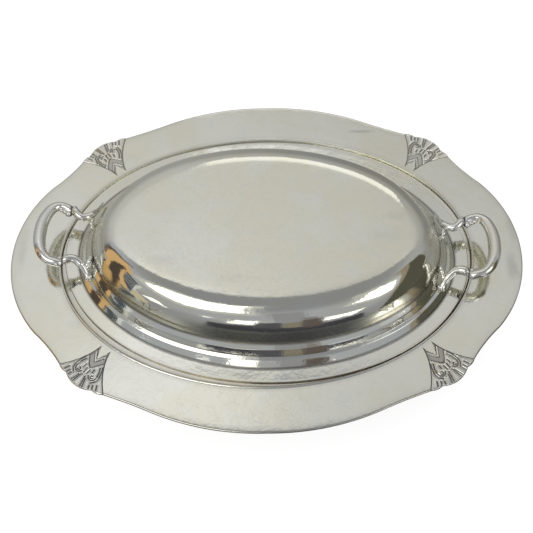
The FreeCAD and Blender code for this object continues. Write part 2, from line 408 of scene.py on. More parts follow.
def mark(shape, vertex, values):
    """Sets a vertex's polish, tarnish and hollow."""
    for name, value in zip(MARKS, values):
        vertex[shape.verts.layers.float[name]] = value


def mesh_of(shape, name):
    """Mesh made of a shape, which is used up."""
    mesh = bpy.data.meshes.new(name)
    shape.to_mesh(mesh)
    shape.free()
    return mesh


def object_of(shape, name, material):
    """Object of the scene made of a shape in metres."""
    mesh = mesh_of(shape, name)
    mesh.materials.append(material)
    thing = bpy.data.objects.new(name, mesh)
    bpy.context.scene.collection.objects.link(thing)
    return thing


def finish_piece(shape, name, material, body, nodes):
    """Makes a shape a smooth piece of the dish that stands for its nodes."""
    bmesh.ops.recalc_face_normals(shape, faces=shape.faces)
    for face in shape.faces:
        face.smooth = True
    piece = object_of(shape, name, material)
    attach(piece, body)
    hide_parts(*nodes)


def extruded(shape, edges):
    """Vertices of a new band of faces along some edges."""
    made = bmesh.ops.extrude_edge_only(shape, edges=edges)["geom"]
    return [part for part in made if isinstance(part, bmesh.types.BMVert)]


def loop_edges(shape, loop):
    """Edges of a closed loop of vertices."""
    return [shape.edges.get((loop[number - 1], vertex)) for number, vertex in enumerate(loop)]


def extruded_loop(shape, loop):
    """New loop of vertices, joined to the given one by a band of faces."""
    new = set(extruded(shape, loop_edges(shape, loop)))
    neighbours = [[edge.other_vert(vertex) for edge in vertex.link_edges] for vertex in loop]
    return [next(other for other in others if other in new) for others in neighbours]


def sheet_shape(rows, count):
    """Closed sheet made of loops. A row gives the place and marks of each corner of a loop."""
    shape = new_shape()
    loop = bmesh.ops.create_circle(shape, cap_ends=True, segments=count, radius=1)["verts"]
    for index, row in enumerate(rows):
        if index:
            loop = extruded_loop(shape, loop)
        for vertex, (place, marks) in zip(loop, row):
            vertex.co = place
            mark(shape, vertex, marks)
    bmesh.ops.edgeloop_fill(shape, edges=loop_edges(shape, loop))
    return shape


# Outline of the rim in one quarter, as in the construction: lobes and sweeps as
# shares of half the rim, and the struck corner on its own axes

END_LOBE_SHARES = ((1.000, 0.000), (0.966, 0.245), (0.871, 0.452))
END_SWEEP_SHARES = ((0.871, 0.452), (0.818, 0.526))
SIDE_SWEEP_SHARES = ((0.506, 0.836), (0.412, 0.890))
SIDE_LOBE_SHARES = ((0.412, 0.890), (0.212, 0.975), (0.000, 1.000))
CORNER_TIP = Vector((100.757, 67.145)) * MM
CORNER_AXIS = math.radians(53.7)
CORNER_EDGE = ((17.60, 25.37), (15.14, 26.61), (10.56, 26.88), (0.0, 30.20))


def corner_point(across, along):
    """Point of the rim from a struck corner's own axes, in millimetres."""
    outward = Vector((math.cos(CORNER_AXIS), math.sin(CORNER_AXIS)))
    sideways = Vector((math.sin(CORNER_AXIS), -math.cos(CORNER_AXIS)))
    return CORNER_TIP + (outward * along + sideways * across) * MM


def quarter_outline(sizes):
    """Points of the rim's outline from the middle of its end to the middle of its side."""
    def rim_point(share):
        return Vector((share[0] * sizes.rim_length / 2, share[1] * sizes.rim_width / 2))

    edge = [corner_point(*place) for place in CORNER_EDGE]
    far = [corner_point(-across, along) for across, along in CORNER_EDGE]
    runs = [
        ([rim_point(share) for share in END_LOBE_SHARES], 1.6),
        ([rim_point(share) for share in END_SWEEP_SHARES] + edge[:1], 1.4),
        (edge[:3], 0.8),
        ([edge[2], edge[3], far[2]], 0.9),
        (far[2::-1], 0.8),
        (far[:1] + [rim_point(share) for share in SIDE_SWEEP_SHARES], 1.5),
        ([rim_point(share) for share in SIDE_LOBE_SHARES], 1.8),
    ]
    points = []
    for run, spacing in runs:
        points += arc_points(*run, spacing * MM)
    return points


def rim_outline(sizes):
    """Points of the whole outline, once round from the right end."""
    quarter = quarter_outline(sizes)
    top = Vector((0.0, sizes.rim_width / 2))
    half = quarter + [top] + [Vector((-point.x, point.y)) for point in quarter[:0:-1]]
    return half + [-point for point in half]


def edge_drop(distance, sizes):
    """Drop of the rim near its outer edge, which is rolled over a little."""
    gentle = max(0.0, 1.0 - distance / (5.0 * MM))
    sharp = max(0.0, 1.0 - distance / (0.8 * MM))
    return sizes.edge_roll * (0.10 * gentle ** 2 + 0.3 * sharp ** 2)


# Base dish. A low bead and the flat rim's start lie outside the seat's oval. Loops of
# the rim lie at steps from its outer edge, then at shares of the way in.

RIM_START = 2.6
BEAD = (-1.5, -1.3, -1.1, -0.9, -0.7, -0.5)
BEAD_HEIGHT = 0.36
FLOOR_INSET = 42.0
FLOOR_SHARES = (0.03, 0.3, 0.6, 0.85)
RIM_STEPS = (5.2, 4.0, 3.0, 2.2, 1.5, 0.9, 0.45)
RIM_INNER_STEP = 6.5
RIM_SHARES = (0.15, 0.4, 0.7, 0.92)
OUTER_EDGE = ((0.15, 0.10), (0.02, 0.32), (0.0, 0.6), (0.02, 1.0), (0.15, 1.3), (0.45, 1.4))
SEAT_POLISH = 0.75
WELL_DULLING = 0.30
RIM_POLISH = 0.84


def seat_marks(inset, normal):
    """Marks of the seat and well, with a brown film and a painted gap shadow in the step and ledge of the
    seat's front.
    """
    step = 0.95 * peak(inset, 0.60 * MM, 0.42 * MM)
    ledge = 0.20 * ramp(inset, 0.8 * MM, 1.6 * MM) * (1 - ramp(inset, 2.2 * MM, 5.0 * MM))
    # Brown film and painted gap shadow in the step and ledge, towards the front only.
    film = 0.08 + (step + ledge) * (1.0 - ramp(normal.y, -0.4, 0.5))
    return SEAT_POLISH - WELL_DULLING * ramp(inset, 14.0 * MM, 22.0 * MM), film, 0.0


def rim_marks(distance):
    """Marks of the rim at a distance from its outer edge."""
    film = 0.10 * peak(distance, 0.0, 3.0 * MM) + 0.45 * peak(distance, 0.0, 0.6 * MM)
    return RIM_POLISH, film, 0.0


class DISH_OT_build_base(bpy.types.Operator):
    """Builds the base dish: lobed rim, seat and deep oval well"""
    bl_idname = "dish.build_base"
    bl_label = "Build Base Dish"

    def execute(self, context):
        sizes = context.scene.dish_sizes
        outline = rim_outline(sizes)
        length, width = sizes.seat_length, sizes.seat_width
        seats = [oval_point(oval_angle_near(point, length, width), length, width) for point in outline]
        rim, wall = sizes.rim_height, sizes.sheet_wall
        top, under = self.section(sizes)

        def seat_row(inset, height, shrink=1.0):
            """Loop at an inset from the seat's oval, shrunk to a share."""
            return [((*((place - normal * inset) * shrink), height), seat_marks(inset, normal))
                    for place, normal in seats]

        def rim_row(distance, height, share=0.0):
            """Loop at a distance from the rim's edge, and a share of the way on."""
            row = []
            for corner, (place, normal) in zip(outline, seats):
                start = place + normal * RIM_START * MM
                reach = distance + share * ((corner - start).length - distance)
                spot = corner + (start - corner).normalized() * (reach + sizes.edge_inset)
                row.append(((*spot, height - edge_drop(reach, sizes)), rim_marks(reach)))
            return row

        steps = [step * MM for step in RIM_STEPS]
        inner, floor = RIM_INNER_STEP * MM, FLOOR_INSET * MM
        rows = [seat_row(floor, wall, share) for share in FLOOR_SHARES]
        rows += [seat_row(*point) for point in reversed(top)]
        rows += [rim_row(inner, rim, share) for share in reversed(RIM_SHARES)]
        rows += [rim_row(step, rim) for step in steps]
        rows += [rim_row(inset * MM, rim - drop * MM) for inset, drop in OUTER_EDGE]
        rows += [rim_row(step, rim - wall) for step in reversed(steps[:-2])]
        rows += [rim_row(inner, rim - wall, share) for share in RIM_SHARES]
        rows += [seat_row(*point) for point in under]
        rows += [seat_row(floor, 0.0, share) for share in reversed(FLOOR_SHARES)]
        shape = sheet_shape(rows, len(outline))
        material = plate_silver("plate_of_base", context.scene, BASE_SMUDGES)
        finish_piece(shape, "base_sheet", material, "base", ["base_dish"])
        return {"FINISHED"}

    def section(self, sizes):
        """Lines of inset and height through seat and well: upper face and underside."""
        rim, ledge, wall = sizes.rim_height, sizes.rim_height - sizes.seat_depth, sizes.sheet_wall
        start = Vector((-RIM_START * MM, rim))
        swell = [math.cos(math.pi / 2 * inset / BEAD[0]) ** 2 for inset in BEAD]
        bead = [Vector((inset * MM, rim + BEAD_HEIGHT * MM * part)) for inset, part in zip(BEAD, swell)]
        corners = [(*(bead[-1] - Vector((0, 0.02 * MM))), 0), (0, rim + 0.30 * MM, 0.35 * MM),
                   (0.8 * MM, ledge, 0.3 * MM), (1.9 * MM, ledge, 0), (14.5 * MM, ledge, 3.5 * MM),
                   (24.5 * MM, wall, 15.5 * MM), (FLOOR_INSET * MM, wall, 0)]
        seat = rounded(corners)[1:]
        return [start] + bead + divided(seat, 2.2 * MM), offset_line([start] + seat, wall)


# Cover. Its section up to the dome has inset from the cover's edge, height over the
# rim and radius. DOME_SIDES has the lean of the dome's foot and its fullness, along
# the dish and at its ends. The dome's foot is painted dark towards SHADE_SIDE, a
# painted shade that stands for the dark reflection there.

COVER_LOOP = 480
COVER_SECTION = ((0.6, 0, 0), (9.0, 0.45, 0.5), (12.75, 4.75, 0.5), (14.9, 5.5, 0.3),
                 (17.4, 10.0, 0.6), (20.3, 12.75, 0.2), (20.5, 13.95, 0))
DOME_INSET = 20.3
DOME_FOOT = 13.35
DOME_START = 13.2
DOME_SEAM = 13.4
DOME_SIDES = ((math.radians(12), 1.4), (math.radians(24), 1.8))
DOME_TOP_LEAN = math.radians(4)
DOME_LOOPS = 34
TOP_SHARES = (0.02, 0.12, 0.25, 0.4, 0.55, 0.7, 0.83, 0.93)
SHADE_SIDE = Vector((0.08, -1.0)).normalized()
COVER_POLISH = ((0.0, 0.88), (8.5, 0.90), (9.2, 1.05), (20.0, 1.05), (20.4, 1.0), (39.5, 1.0),
                (42.2, 0.45))


def cover_marks(inset, height, rim):
    """Marks all round the cover at an inset and height: polish, a brown film in the creases, and painted
    shade at the dome's foot and in the creases.
    """
    film = 0.55 * peak(inset, 20.25, 0.30) + 0.35 * peak(inset, 15.1, 0.35)
    film += 0.5 * peak(inset, 9.0, 0.3)
    # Painted shade: the dome's foot is darkened for a dark reflection, and dark lines are painted into the
    # creases at the ring and at the dome's foot.
    painted_shade = 0.84 * (1 - ramp(height, rim + 21.0, rim + 27.0)) if height > rim + DOME_SEAM else 0.0
    painted_shade = max(painted_shade, 0.65 * peak(inset, 9.05, 0.35), 0.45 * peak(inset, 20.2, 0.25))
    return between_rows(COVER_POLISH, inset), film, painted_shade


class DISH_OT_build_cover(bpy.types.Operator):
    """Builds the cover: flange, ring moulding, stepped shoulder, rounded side and flat top"""
    bl_idname = "dish.build_cover"
    bl_label = "Build Cover"

    def execute(self, context):
        sizes = context.scene.dish_sizes
        ovals = [oval_point(2 * math.pi * number / COVER_LOOP, sizes.cover_length, sizes.cover_width)
                 for number in range(COVER_LOOP)]
        turn = Matrix.Rotation(sizes.cover_turn, 2)
        rim, wall = sizes.rim_height / MM, sizes.sheet_wall / MM
        line = rounded([(inset, rim + rise, radius) for inset, rise, radius in COVER_SECTION])[:-1]
        line = divided(line, 1.6)
        foot = Vector((DOME_INSET, rim + DOME_FOOT))
        top = Vector((DOME_INSET + sizes.dome_round / MM, rim + DOME_START + sizes.dome_height / MM))
        lines = [line + domed(foot, top, lean, DOME_TOP_LEAN, fullness, DOME_LOOPS)
                 for lean, fullness in DOME_SIDES]
        unders = [offset_line(points, wall) for points in lines]
        below = rim - wall
        edge = rounded([(0.6, rim, 0), (0, rim, 0.55), (0, below, 0.25), (0.6, below, 0)])[1:-1]

        def row(along, at_end, shrink=1.0):
            """Loop through a point of the section along the dish and one at its ends."""
            shine, film, painted_shade = cover_marks(*along, rim)
            narrow = along.y > rim + 14.0
            edge_film = 0.80 * peak(along.x, 0.0, 0.50)
            satin_share = 0.8 * ramp(along.x, 8.5, 9.5) * (1 - ramp(along.x, 34.0, 41.0))
            in_dome = along.y > rim + DOME_SEAM
            # Brown film and painted shade along the dome's foot, on the front flanks only.
            foot_film_and_shade = 0.45 * (1 - ramp(along.y, rim + 14.5, rim + 20.5)) if in_dome else 0.0
            loop = []
            for place, normal in ovals:
                inset, height = along.lerp(at_end, ramp(abs(normal.x), 0.45, 0.90))
                # Painted shade at the dome's foot only towards SHADE_SIDE; the painted shade in the
                # creases goes all round.
                black = painted_shade * (ramp(normal.dot(SHADE_SIDE), 0.90, 0.98) if narrow else 1.0)
                satin = ramp(abs(normal.x), 0.87, 0.96) * satin_share
                front_flank = ramp(-normal.y, 0.15, 0.55) * (1 - ramp(-normal.y, 0.88, 0.97))
                spot = turn @ (place - normal * inset * MM) * shrink
                # Brown film and a painted gap shadow on the cover's edge, on its front only.
                edge_film_and_shadow = edge_film * (1 - ramp(normal.y, -0.4, 0.4))
                marks = (shine * (1 - satin), film + front_flank * foot_film_and_shade + edge_film_and_shadow, black)
                loop.append(((*spot, height * MM), marks))
            return loop

        last, ceiling = lines[0][-1], unders[0][-1]
        crowns = [last + Vector((0.0, sizes.crown / MM * (1 - share ** 2))) for share in TOP_SHARES]
        rows = [row(point, point, share) for point, share in zip(crowns, TOP_SHARES)]
        rows += [row(*points) for points in reversed(list(zip(*lines)))]
        rows += [row(point, point) for point in edge]
        rows += [row(*points) for points in zip(*unders)]
        rows += [row(ceiling, ceiling, share) for share in reversed(TOP_SHARES)]
        shape = sheet_shape(rows, COVER_LOOP)
        material = plate_silver("plate_of_cover", context.scene, COVER_SMUDGES)
        finish_piece(shape, "cover_sheet", material, "cover", ["cover"])
        return {"FINISHED"}


# Struck corners, measured from the ornament's own tip: half its width along it, the
# reach of its outer edge across it, apex and softness of its chevrons, and the lines
# cut into each half. CORNER_SKEW widens the half nearer the dish's long side.

SIDE_WIDTHS = ((0.0, 3.8), (4.6, 4.9), (9.3, 6.7), (14.5, 9.3), (20.1, 13.1), (25.4, 17.6))
EDGE_REACHES = ((0.0, 30.2), (4.0, 29.8), (7.5, 28.6), (10.56, 26.88), (13.0, 26.95),
                (15.14, 26.61), (17.6, 25.37))
SIDE_LENGTH, HALF_SPREAD = SIDE_WIDTHS[-1]
CHEVRONS = ((8.9, 0.3), (11.7, 0.5), (15.6, 1.7))
CHEVRON_SLOPE = 1.55
CHEVRON_DEPTHS = (1.3, 0.9, 1.2)
CORNER_SKEW = 0.09
CORNER_GRID = 120
FACE_HEIGHT = 0.38
CUT_DEPTH = 0.30
CUT_LINES = (
    ((6.7, 11.6), (8.3, 15.0), (9.1, 18.4), (8.6, 21.8), (6.6, 24.0)),
    ((5.6, 12.6), (7.2, 16.0), (7.7, 18.8), (7.2, 21.2), (5.6, 22.5), (3.8, 22.2), (2.9, 20.8)),
    ((5.9, 20.9), (5.0, 21.5), (4.2, 20.8), (4.4, 19.7), (5.3, 19.4)),
    ((1.2, 17.2), (1.0, 20.5)), ((3.4, 15.6), (3.6, 18.0)),
    ((1.5, 22.0), (2.9, 29.0)), ((2.6, 23.2), (4.3, 28.8)),
    ((7.2, 25.0), (7.9, 27.3)), ((8.9, 24.0), (9.9, 26.4)), ((10.9, 22.6), (12.4, 25.7)),
)


def line_distance(point, line):
    """Distance of a point from a chain of straight runs."""
    best = 1e9
    for start, end in zip(line, line[1:]):
        run = Vector(end) - Vector(start)
        share = min(max((point - Vector(start)).dot(run) / run.length_squared, 0.0), 1.0)
        best = min(best, (point - Vector(start) - run * share).length)
    return best


def relief(across, along):
    """Height of a struck corner and how black it is: black in its cut lines, and painted shade in one
    chevron band.
    """
    side = abs(across)
    point = Vector((side, along))
    cuts = [line_distance(point, line) for line in CUT_LINES]
    nearest = min(cuts)
    patina_and_shade = 1.3 * peak(nearest, 0.0, 0.36)
    height = FACE_HEIGHT + 0.16 * peak(nearest, 0.85, 0.35)
    chevrons = [along - apex + CHEVRON_SLOPE * (math.hypot(side, soft) - soft)
                for apex, soft in CHEVRONS]
    if chevrons[0] < 0 or along < 16 and chevrons[2] < 0.6:
        patina_and_shade, height = 0.0, FACE_HEIGHT
    for offset, depth in zip(chevrons, CHEVRON_DEPTHS):
        patina_and_shade = max(patina_and_shade, depth * peak(offset * 0.54, 0.0, 0.30))
    if chevrons[0] > 0 and chevrons[1] < 0:
        height += 0.20
    # The band between the second and third chevrons is painted dark, a painted shade for a sloping facet.
    elif chevrons[1] > 0 and chevrons[2] < 0:
        patina_and_shade = max(patina_and_shade, 0.45)
    border = between_rows(SIDE_WIDTHS, along) - side
    patina_and_shade = min(max(patina_and_shade, 1.4 * peak(border, 0.55, 0.38)), 1.0)
    height += 0.16 * peak(border, 1.45, 0.35)
    return height - CUT_DEPTH * patina_and_shade, patina_and_shade


class DISH_OT_build_corners(bpy.types.Operator):
    """Builds the four struck ornaments on the corners of the rim"""
    bl_idname = "dish.build_corners"
    bl_label = "Build Struck Corners"

    def execute(self, context):
        sizes = context.scene.dish_sizes
        material = cast_silver("struck_silver", context.scene)
        for side, mirrors in SIDES.items():
            shape = self.corner_shape(sizes, *mirrors)
            finish_piece(shape, "corner_ornament_" + side, material, "base",
                         ["corner_mount_" + side])
        return {"FINISHED"}

    def corner_shape(self, sizes, mirror_x, mirror_y):
        """One ornament: a grid laid over its outline, raised by its relief and closed below."""
        shape = new_shape()
        grid = bmesh.ops.create_grid(shape, x_segments=CORNER_GRID, y_segments=CORNER_GRID, size=1)
        for vertex in grid["verts"]:
            across, share = vertex.co.x, vertex.co.y / 2 + 0.5
            half = between_rows(SIDE_WIDTHS, SIDE_LENGTH * share) - 0.1
            notch = (math.hypot(across, 0.1) - 0.1) / (math.hypot(1, 0.1) - 0.1)
            low = CHEVRONS[0][0] * (1 - notch)
            high = between_rows(EDGE_REACHES, abs(across) * HALF_SPREAD) - 0.15
            spot = Vector((across * half, low + share * (high - low)))
            height, patina_and_shade = relief(spot.x, spot.y)
            if across < 0:
                spot.x *= 1 + CORNER_SKEW * share
                spot.y -= 8.0 * CORNER_SKEW * share * max(0.0, abs(across) - 0.85) / 0.15
            reach = (between_rows(EDGE_REACHES, abs(spot.x)) - spot.y) * MM
            if share in (0.0, 1.0) or abs(across) == 1.0:
                height = -0.20
            place = corner_point(*spot)
            top = sizes.rim_height + height * MM - edge_drop(max(reach, 0.0), sizes)
            vertex.co = (place.x * mirror_x, place.y * mirror_y, top)
            # The front corners' black is painted darker than the back corners', a painted shade.
            mark(shape, vertex, (0.75, 0.10, patina_and_shade * (0.72 if mirror_y > 0 else 0.92)))
        for vertex in extruded(shape, [edge for edge in shape.edges if edge.is_boundary]):
            vertex.co.z = sizes.rim_height - 0.7 * MM
        bmesh.ops.edgeloop_fill(shape, edges=[edge for edge in shape.edges if edge.is_boundary])
        return shape


# Scroll handles: rods through stations of place and thickness, from the cover's own
# middle and the rim's height. The far half is towards the back of the dish. Each half
# has a loop, foot, tip and branch, and beads. TIE_PLACE is where its loop is tied.

FAR_RODS = (
    ((129.7, 17.6, 15, 4.6), (131.6, 19.6, 15.6, 5.8), (134.6, 21, 16.4, 5.6),
     (139, 21.2, 17, 6), (143.2, 18, 17.6, 7), (146, 12, 18, 7.8),
     (147.4, 5.6, 18.2, 8.2), (147.6, -0.6, 18.2, 8.3)),
    ((129.8, 17.6, 15.2, 4.6), (128, 18.4, 15.8, 5.8), (125.6, 15.9, 15.4, 5.5),
     (123, 14.6, 14.8, 5.3), (119.8, 15.2, 14.2, 5.1), (116.9, 17.3, 13.5, 4.9)),
    ((116.9, 17.3, 13.5, 4.6), (115.6, 20.6, 11.8, 3.7), (114.6, 24.4, 9, 2.8),
     (113.6, 28.6, 7.2, 1.9), (112.8, 32.2, 6.4, 1.1)),
    ((117.6, 16.6, 13.3, 3.2), (116.8, 14.6, 11.9, 3.2), (116.7, 12.2, 11, 2.8),
     (116.2, 9.8, 10.4, 2.4)),
)
NEAR_RODS = (
    ((130.3, 20.3, 15, 4.6), (132.2, 21, 15.4, 5.8), (135, 20.9, 16.2, 5.9),
     (139.4, 19.8, 16.9, 6.2), (143.4, 16.2, 17.6, 7), (146, 10.8, 18, 7.8),
     (147.3, 5, 18.2, 8.2), (147.6, 0.6, 18.2, 8.3)),
    ((130.2, 20.2, 15.2, 4.6), (128.4, 18.7, 15.8, 6), (125, 17.7, 15.6, 5.9),
     (121.6, 18.2, 14.8, 5.7), (118.7, 20.2, 13.4, 5.5)),
    ((118.7, 20.2, 13.4, 5.3), (116.8, 22.2, 11.8, 4.9), (115.2, 24.4, 9.8, 4.5),
     (114, 26.6, 7.9, 5.4)),
    ((115.6, 23.4, 10.4, 3.4), (114.2, 20.4, 12, 3.3), (113.6, 17.6, 12.8, 2.8),
     (113.2, 15.4, 13, 2.4)),
)
FAR_BEADS = ((131.9, 16.3, 15.6, 4.4), (134.3, 17.6, 16, 3.8), (136.7, 18.5, 16.4, 3.2),
             (128.2, 20.2, 16.2, 4), (126.4, 15.6, 15.8, 3.4), (116.8, 14.9, 12, 3.8),
             (116.7, 12.3, 11, 4), (116.2, 9.6, 10.4, 3.6))
NEAR_BEADS = ((132.4, 18.4, 15.6, 4.2), (134.9, 18.2, 16, 3.6), (128.6, 17.6, 16.2, 4),
              (125.6, 16.4, 15.8, 3.4), (119.4, 18.6, 14.2, 3.4), (114.4, 20, 12.3, 3.6),
              (113.7, 17.7, 12.8, 4), (113.2, 15.4, 13, 3.6))
TIE_PLACE = 130.0
LEFT_TURN = math.radians(-0.9)
CAST_POLISH = 0.82
CAST_FILM = 0.06
SKIN_VOXEL = 0.26
SMOOTH_PASSES = 5


def rod_curve(stations, side):
    """Curve through stations, thick as they say, on the given side of the long axis."""
    curve = bpy.data.curves.new("rod", "CURVE")
    curve.dimensions = "3D"
    curve.bevel_depth = 0.5
    curve.bevel_resolution = 6
    curve.use_fill_caps = True
    curve.resolution_u = 10
    spline = curve.splines.new("BEZIER")
    spline.bezier_points.add(len(stations) - 1)
    spline.radius_interpolation = "CARDINAL"
    places = [Vector((x, y * side, z)) for x, y, z, _ in stations]
    for index, point in enumerate(spline.bezier_points):
        before = places[max(index - 1, 0)]
        after = places[min(index + 1, len(places) - 1)]
        point.co = places[index]
        point.handle_left = places[index] - (after - before) / 6
        point.handle_right = places[index] + (after - before) / 6
        point.radius = stations[index][3]
    return curve


def shown_mesh(data):
    """Mesh of a curve, or of an object with its modifiers, as it is shown."""
    carrier = data if isinstance(data, bpy.types.Object) else bpy.data.objects.new("carrier", data)
    bpy.context.scene.collection.objects.link(carrier)
    shown = carrier.evaluated_get(bpy.context.evaluated_depsgraph_get())
    mesh = bpy.data.meshes.new_from_object(shown)
    bpy.data.objects.remove(carrier)
    return mesh


class DISH_OT_build_handles(bpy.types.Operator):
    """Builds the two cast scroll handles on their forked feet"""
    bl_idname = "dish.build_handles"
    bl_label = "Build Handles"

    def execute(self, context):
        sizes = context.scene.dish_sizes
        material = cast_silver("cast_silver", context.scene)
        casting = self.casting()
        for name, mirror in (("right", 1), ("left", -1)):
            shape = new_shape()
            shape.from_mesh(casting)
            shape.normal_update()
            for vertex in shape.verts:
                mark(shape, vertex, (CAST_POLISH, CAST_FILM, self.blackened(vertex)))
            lift = Matrix.Translation((0, 0, sizes.rim_height)) @ Matrix.Scale(MM, 4)
            mirrored = Matrix.Diagonal((mirror, 1, 1, 1))
            turn = sizes.cover_turn + (LEFT_TURN if name == "left" else 0.0)
            shape.transform(Matrix.Rotation(turn, 4, "Z") @ mirrored @ lift)
            finish_piece(shape, "handle_" + name + "_casting", material, "cover",
                         ["handle_" + name])
        return {"FINISHED"}

    def blackened(self, vertex):
        """How black the silver is at a vertex: black in hollows and at the ties, and painted shade on its
        sides and underneath.
        """
        runs = [(edge.other_vert(vertex).co - vertex.co).normalized() for edge in vertex.link_edges]
        bend = sum(run.dot(vertex.normal) for run in runs) / max(len(runs), 1)
        tie = 0.95 * peak(vertex.co.x, TIE_PLACE, 0.55)
        # Painted shade on faces that turn sideways and down.
        under = 0.36 * peak(vertex.normal.z, 0.05, 0.28)
        return min(max(4.5 * bend, 0.0) + tie + under, 1.0)

    def casting(self):
        """One handle in millimetres, its rods and beads run together."""
        parts = bmesh.new()
        for side, rods, beads in ((1, FAR_RODS, FAR_BEADS), (-1, NEAR_RODS, NEAR_BEADS)):
            for stations in rods:
                parts.from_mesh(shown_mesh(rod_curve(stations, side)))
            for x, y, z, thickness in list(beads) + [stations[-1] for stations in rods]:
                bmesh.ops.create_icosphere(parts, subdivisions=4, radius=thickness / 2,
                                           matrix=Matrix.Translation((x, y * side, z)))
        carrier = bpy.data.objects.new("casting", mesh_of(parts, "casting"))
        carrier.modifiers.new("skin", "REMESH").voxel_size = SKIN_VOXEL
        shape = bmesh.new()
        shape.from_mesh(shown_mesh(carrier))
        for _ in range(SMOOTH_PASSES):
            bmesh.ops.smooth_vert(shape, verts=shape.verts, factor=0.5, use_axis_x=True,
                                  use_axis_y=True, use_axis_z=True)
        return mesh_of(shape, "casting_skin")


# Studio. A screen has corners of bearing and height in degrees seen from the dish,
# with bearing zero towards the camera and positive to its right, then a colour and,
# where it isn't 1, a strength. Each hangs a step nearer to the dish than the last.

CAMERA_LENS = 60.499
CAMERA_PLACE = (7.691, -299.895, 558.210)
CAMERA_TURNS = ((1.4184, "Z"), (29.3583, "X"), (-2.0252, "Z"))
FLOOR_GLOW = 0.89
LAMP_SIZE = 1.4
LAMPS = (("lamp_left", (-0.9, -0.5, 1.5), 9.0), ("lamp_right", (0.8, 0.7, 1.6), 7.0))
WHITE = (1.0, 1.0, 1.0)
ROOM_RADIUS = 4.0
ROOM_LEVEL = 0.70
FRONT_TINT = (0.95, 0.98, 1.07)
REAR_TINT = (1.0, 1.0, 1.01)
SCREEN_STEP = 0.03
SCREENS = (
    ("tan_board", ((-97, -62), (-66, -58), (-77, 44), (-97, 54)), (0.92, 0.60, 0.29)),
    ("tan_board_edge", ((-102, -60), (-97, -60), (-96, 56), (-100, 58)), (0.16, 0.13, 0.12)),
    ("dark_stand", ((-94, -60), (-76, -42), (-80, 36), (-84, 39)), (0.11, 0.085, 0.07)),
    ("window", ((-73, -8), (-66, -20), (-63, 26), (-78, 34)), (0.11, 0.13, 0.16)),
    ("window_frame", ((-66, -22), (-63, -20), (-60, 26), (-63, 28)), (0.95, 0.97, 1.0)),
    ("cream_board", ((-74, -44), (-62, -46), (-52, -13), (-62, 0)), (0.88, 0.80, 0.62), 0.9),
    ("brown_board", ((-70, -58), (-57, -52), (-46, -20), (-54, -22)), (0.50, 0.28, 0.14)),
    ("dark_board", ((-60, -60), (-40, -54), (-36, -27), (-48, -29)), (0.09, 0.09, 0.12)),
    ("window_line_low", ((-73, 2), (-64, -4), (-64, -2), (-74, 5)), (0.62, 0.62, 0.60)),
    ("window_line_middle", ((-75, 13), (-64, 6), (-64, 8), (-75, 16)), (0.62, 0.62, 0.60)),
    ("window_line_high", ((-77, 24), (-64, 17), (-64, 19), (-77, 27)), (0.62, 0.62, 0.60)),
    ("dark_flag", ((-30, -66), (40, -66), (36, -8), (9, -4), (-10, -1), (-24, -4)), (0.085, 0.085, 0.105)),
    ("dark_flag_top", ((-8, -8), (3, -8), (3, 14), (-5, 13)), (0.13, 0.13, 0.15)),
    ("shaded_wall", ((2, 12), (12, 14), (16, 58), (-4, 56)), (0.42, 0.42, 0.45)),
    ("tan_panel", ((3, -8), (11, -8), (11, 14), (4, 12)), (0.34, 0.31, 0.24)),
    ("brown_flag_top", ((11, 10), (19, 10), (17, 27), (12, 30)), (0.33, 0.31, 0.30)),
    ("brown_flag", ((10, -14), (19, -14), (19, 16), (11, 18)), (0.17, 0.14, 0.13)),
    ("right_shelf", ((36, -40), (94, -60), (90, 46), (58, 4)), (0.13, 0.13, 0.10)),
    ("right_shelf_edge", ((48, -6), (58, 3), (90, 45), (86, 58)), (0.42, 0.36, 0.28)),
    ("gold_board", ((60, -63), (108, -62), (86, -44), (70, -46)), (0.62, 0.44, 0.12)),
    ("rear_light", ((154, 35), (190, 35), (190, 46), (154, 46)), (1.0, 1.0, 0.99), 1.5),
    ("left_soft_halo", ((-78, 43), (-38, 30), (-6, 48), (-14, 85), (-84, 70)),
     (0.96, 0.98, 1.0), 0.80),
    ("left_soft_light", ((-72, 50), (-38, 39), (-13, 55), (-28, 81), (-75, 66)), WHITE, 3.0),
    ("right_soft_halo", ((30, 42), (46, 20), (60, 13), (76, 40), (70, 64), (54, 66)),
     (0.96, 0.98, 1.0), 0.78),
    ("right_soft_light", ((37, 42), (49, 26), (58, 20), (69, 39), (66, 56), (56, 58)), WHITE, 3.0),
    ("low_light_left", ((-57, -1), (-41, -2), (-46, 9), (-50, 9)), WHITE, 2.2),
    ("low_light_inner", ((-27, 9), (-24, 8), (-22, 15), (-27, 14)), WHITE, 1.6),
    ("low_light_middle", ((-17, 3), (-7, 4), (-5, 21), (-15, 20)), WHITE, 2.2),
    ("low_light_right", ((19, 3), (31, -2), (37, 7), (20, 14)), WHITE, 2.4),
)


def bearing_point(bearing, height, radius):
    """Point of the studio at a bearing and height in degrees, from over the dish."""
    across, up = math.radians(bearing), math.radians(height)
    level = math.cos(up)
    return Vector((math.sin(across) * level, -math.cos(across) * level, math.sin(up))) * radius


def stage_object(shape, name, material):
    """Object of the scene made of a shape, for the floor or the studio."""
    thing = object_of(shape, name, material)
    return thing


def seen_in_metal_only(thing):
    """A studio screen that shows in reflections, casts no shadow and gives no light."""
    thing.visible_camera = False
    thing.visible_diffuse = False
    thing.visible_shadow = False
    thing.visible_transmission = False


